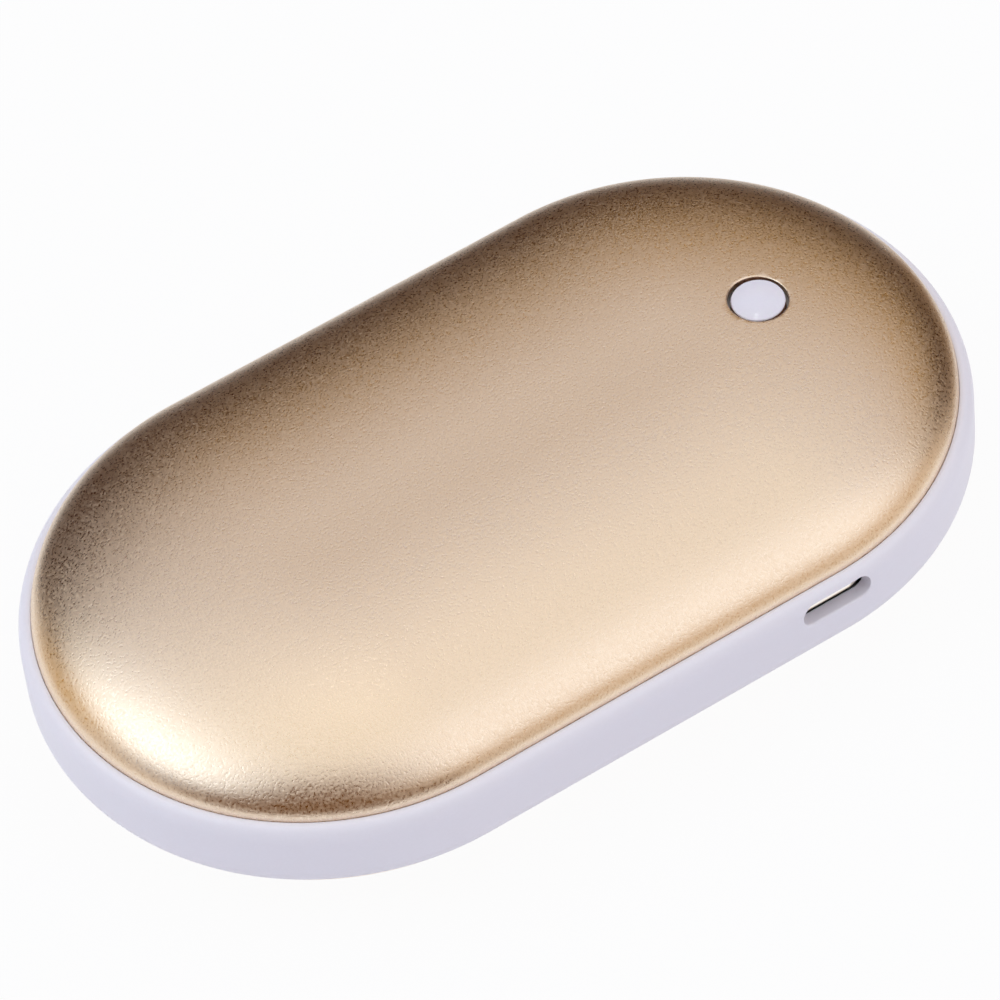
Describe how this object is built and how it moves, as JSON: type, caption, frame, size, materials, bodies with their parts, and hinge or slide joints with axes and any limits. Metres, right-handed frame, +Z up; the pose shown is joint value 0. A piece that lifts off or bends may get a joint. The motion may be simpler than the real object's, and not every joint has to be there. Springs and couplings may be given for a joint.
{
  "type": "rechargeable hand warmer",
  "caption": "Pebble-shaped pocket hand warmer: two domed gold metal shells on a white band, one button and a small charging inlet.",
  "frame": {"origin": "middle of the flat that the body rests on, under the middle of the whole body", "axes": "+X along the body towards the button end, +Z up through the button's dome, -Y towards the charging inlet in the long side"},
  "size_m": [0.102, 0.06, 0.0235],
  "materials": {
    "gold_aluminium": "bead-blasted and anodised champagne gold, satin",
    "white_abs": "moulded white ABS, fine satin",
    "button_plastic": "translucent white, polished",
    "tray_plastic": "moulded ABS, matt",
    "glue": "clear acrylic adhesive",
    "heater_film": "amber polyimide",
    "heater_metal": "etched foil",
    "foam": "closed-cell foam",
    "sealant": "silicone",
    "cell_foil": "pouch laminate",
    "tape": "double-sided tape",
    "nickel": "nickel strip",
    "circuit_board": "green solder mask",
    "chip_epoxy": "moulded epoxy",
    "tin": "tinned copper",
    "ceramic_tan": "fired ceramic",
    "resistor_black": "glazed film on ceramic",
    "led_resin": "pale phosphor resin",
    "fuse_metal": "plated case and wires",
    "bead_epoxy": "dipped epoxy bead",
    "socket_steel": "nickel-plated steel",
    "socket_plastic": "black nylon",
    "contact_gold": "gold-plated bronze",
    "switch_plastic": "black nylon",
    "spring_steel": "stainless spring steel",
    "screw_steel": "zinc-plated steel",
    "red_insulation": "silicone insulation",
    "black_insulation": "silicone insulation",
    "white_insulation": "PTFE insulation"
  },
  "bodies": {
    "housing": {"top_shell": "gold_aluminium", "bottom_shell": "gold_aluminium", "mid_frame": "white_abs", "upper_tray": "tray_plastic", "lower_tray": "tray_plastic", "top_glue_sheet": "glue", "bottom_glue_sheet": "glue", "top_heater_film": "heater_film", "bottom_heater_film": "heater_film", "top_heater_track": "heater_metal", "bottom_heater_track": "heater_metal", "top_foam": "foam", "bottom_foam": "foam", "top_sealant": "sealant", "bottom_sealant": "sealant", "upper_cell": "cell_foil", "lower_cell": "cell_foil", "cell_tape": "tape", "cell_tabs": "nickel", "protection_board": "circuit_board", "protection_chips": "chip_epoxy", "main_board": "circuit_board", "charge_chip": "chip_epoxy", "controller_chip": "chip_epoxy", "heater_transistors": "chip_epoxy", "chip_legs": "tin", "capacitors": "ceramic_tan", "resistors": "resistor_black", "indicator_leds": "led_resin", "thermal_fuse": "fuse_metal", "cell_thermistor": "bead_epoxy", "usb_shell": "socket_steel", "usb_tongue": "socket_plastic", "usb_contacts": "contact_gold", "switch_base": "switch_plastic", "switch_contacts": "tin", "snap_dome": "spring_steel", "switch_cover": "socket_steel", "frame_screws": "screw_steel", "board_screws": "screw_steel", "battery_lead_red": "red_insulation", "battery_lead_black": "black_insulation", "top_heater_leads": "white_insulation", "bottom_heater_leads": "white_insulation"},
    "button": {"button_cap": "button_plastic"},
    "plunger": {"switch_plunger": "switch_plastic"}
  },
  "joints": [
    {"name": "button_press", "type": "slide", "parent": "housing", "child": "button", "axis": [0, 0, -1], "range_m": [0, 0.00025], "stiffness_N_per_m": 6400},
    {"name": "plunger_press", "type": "slide", "parent": "housing", "child": "plunger", "axis": [0, 0, -1], "range_m": [0, 0.00025], "deforming": ["snap_dome"]}
  ],
  "couplings": [
    {"joint": "plunger_press", "follows": "button_press", "ratio": 1}
  ]
}
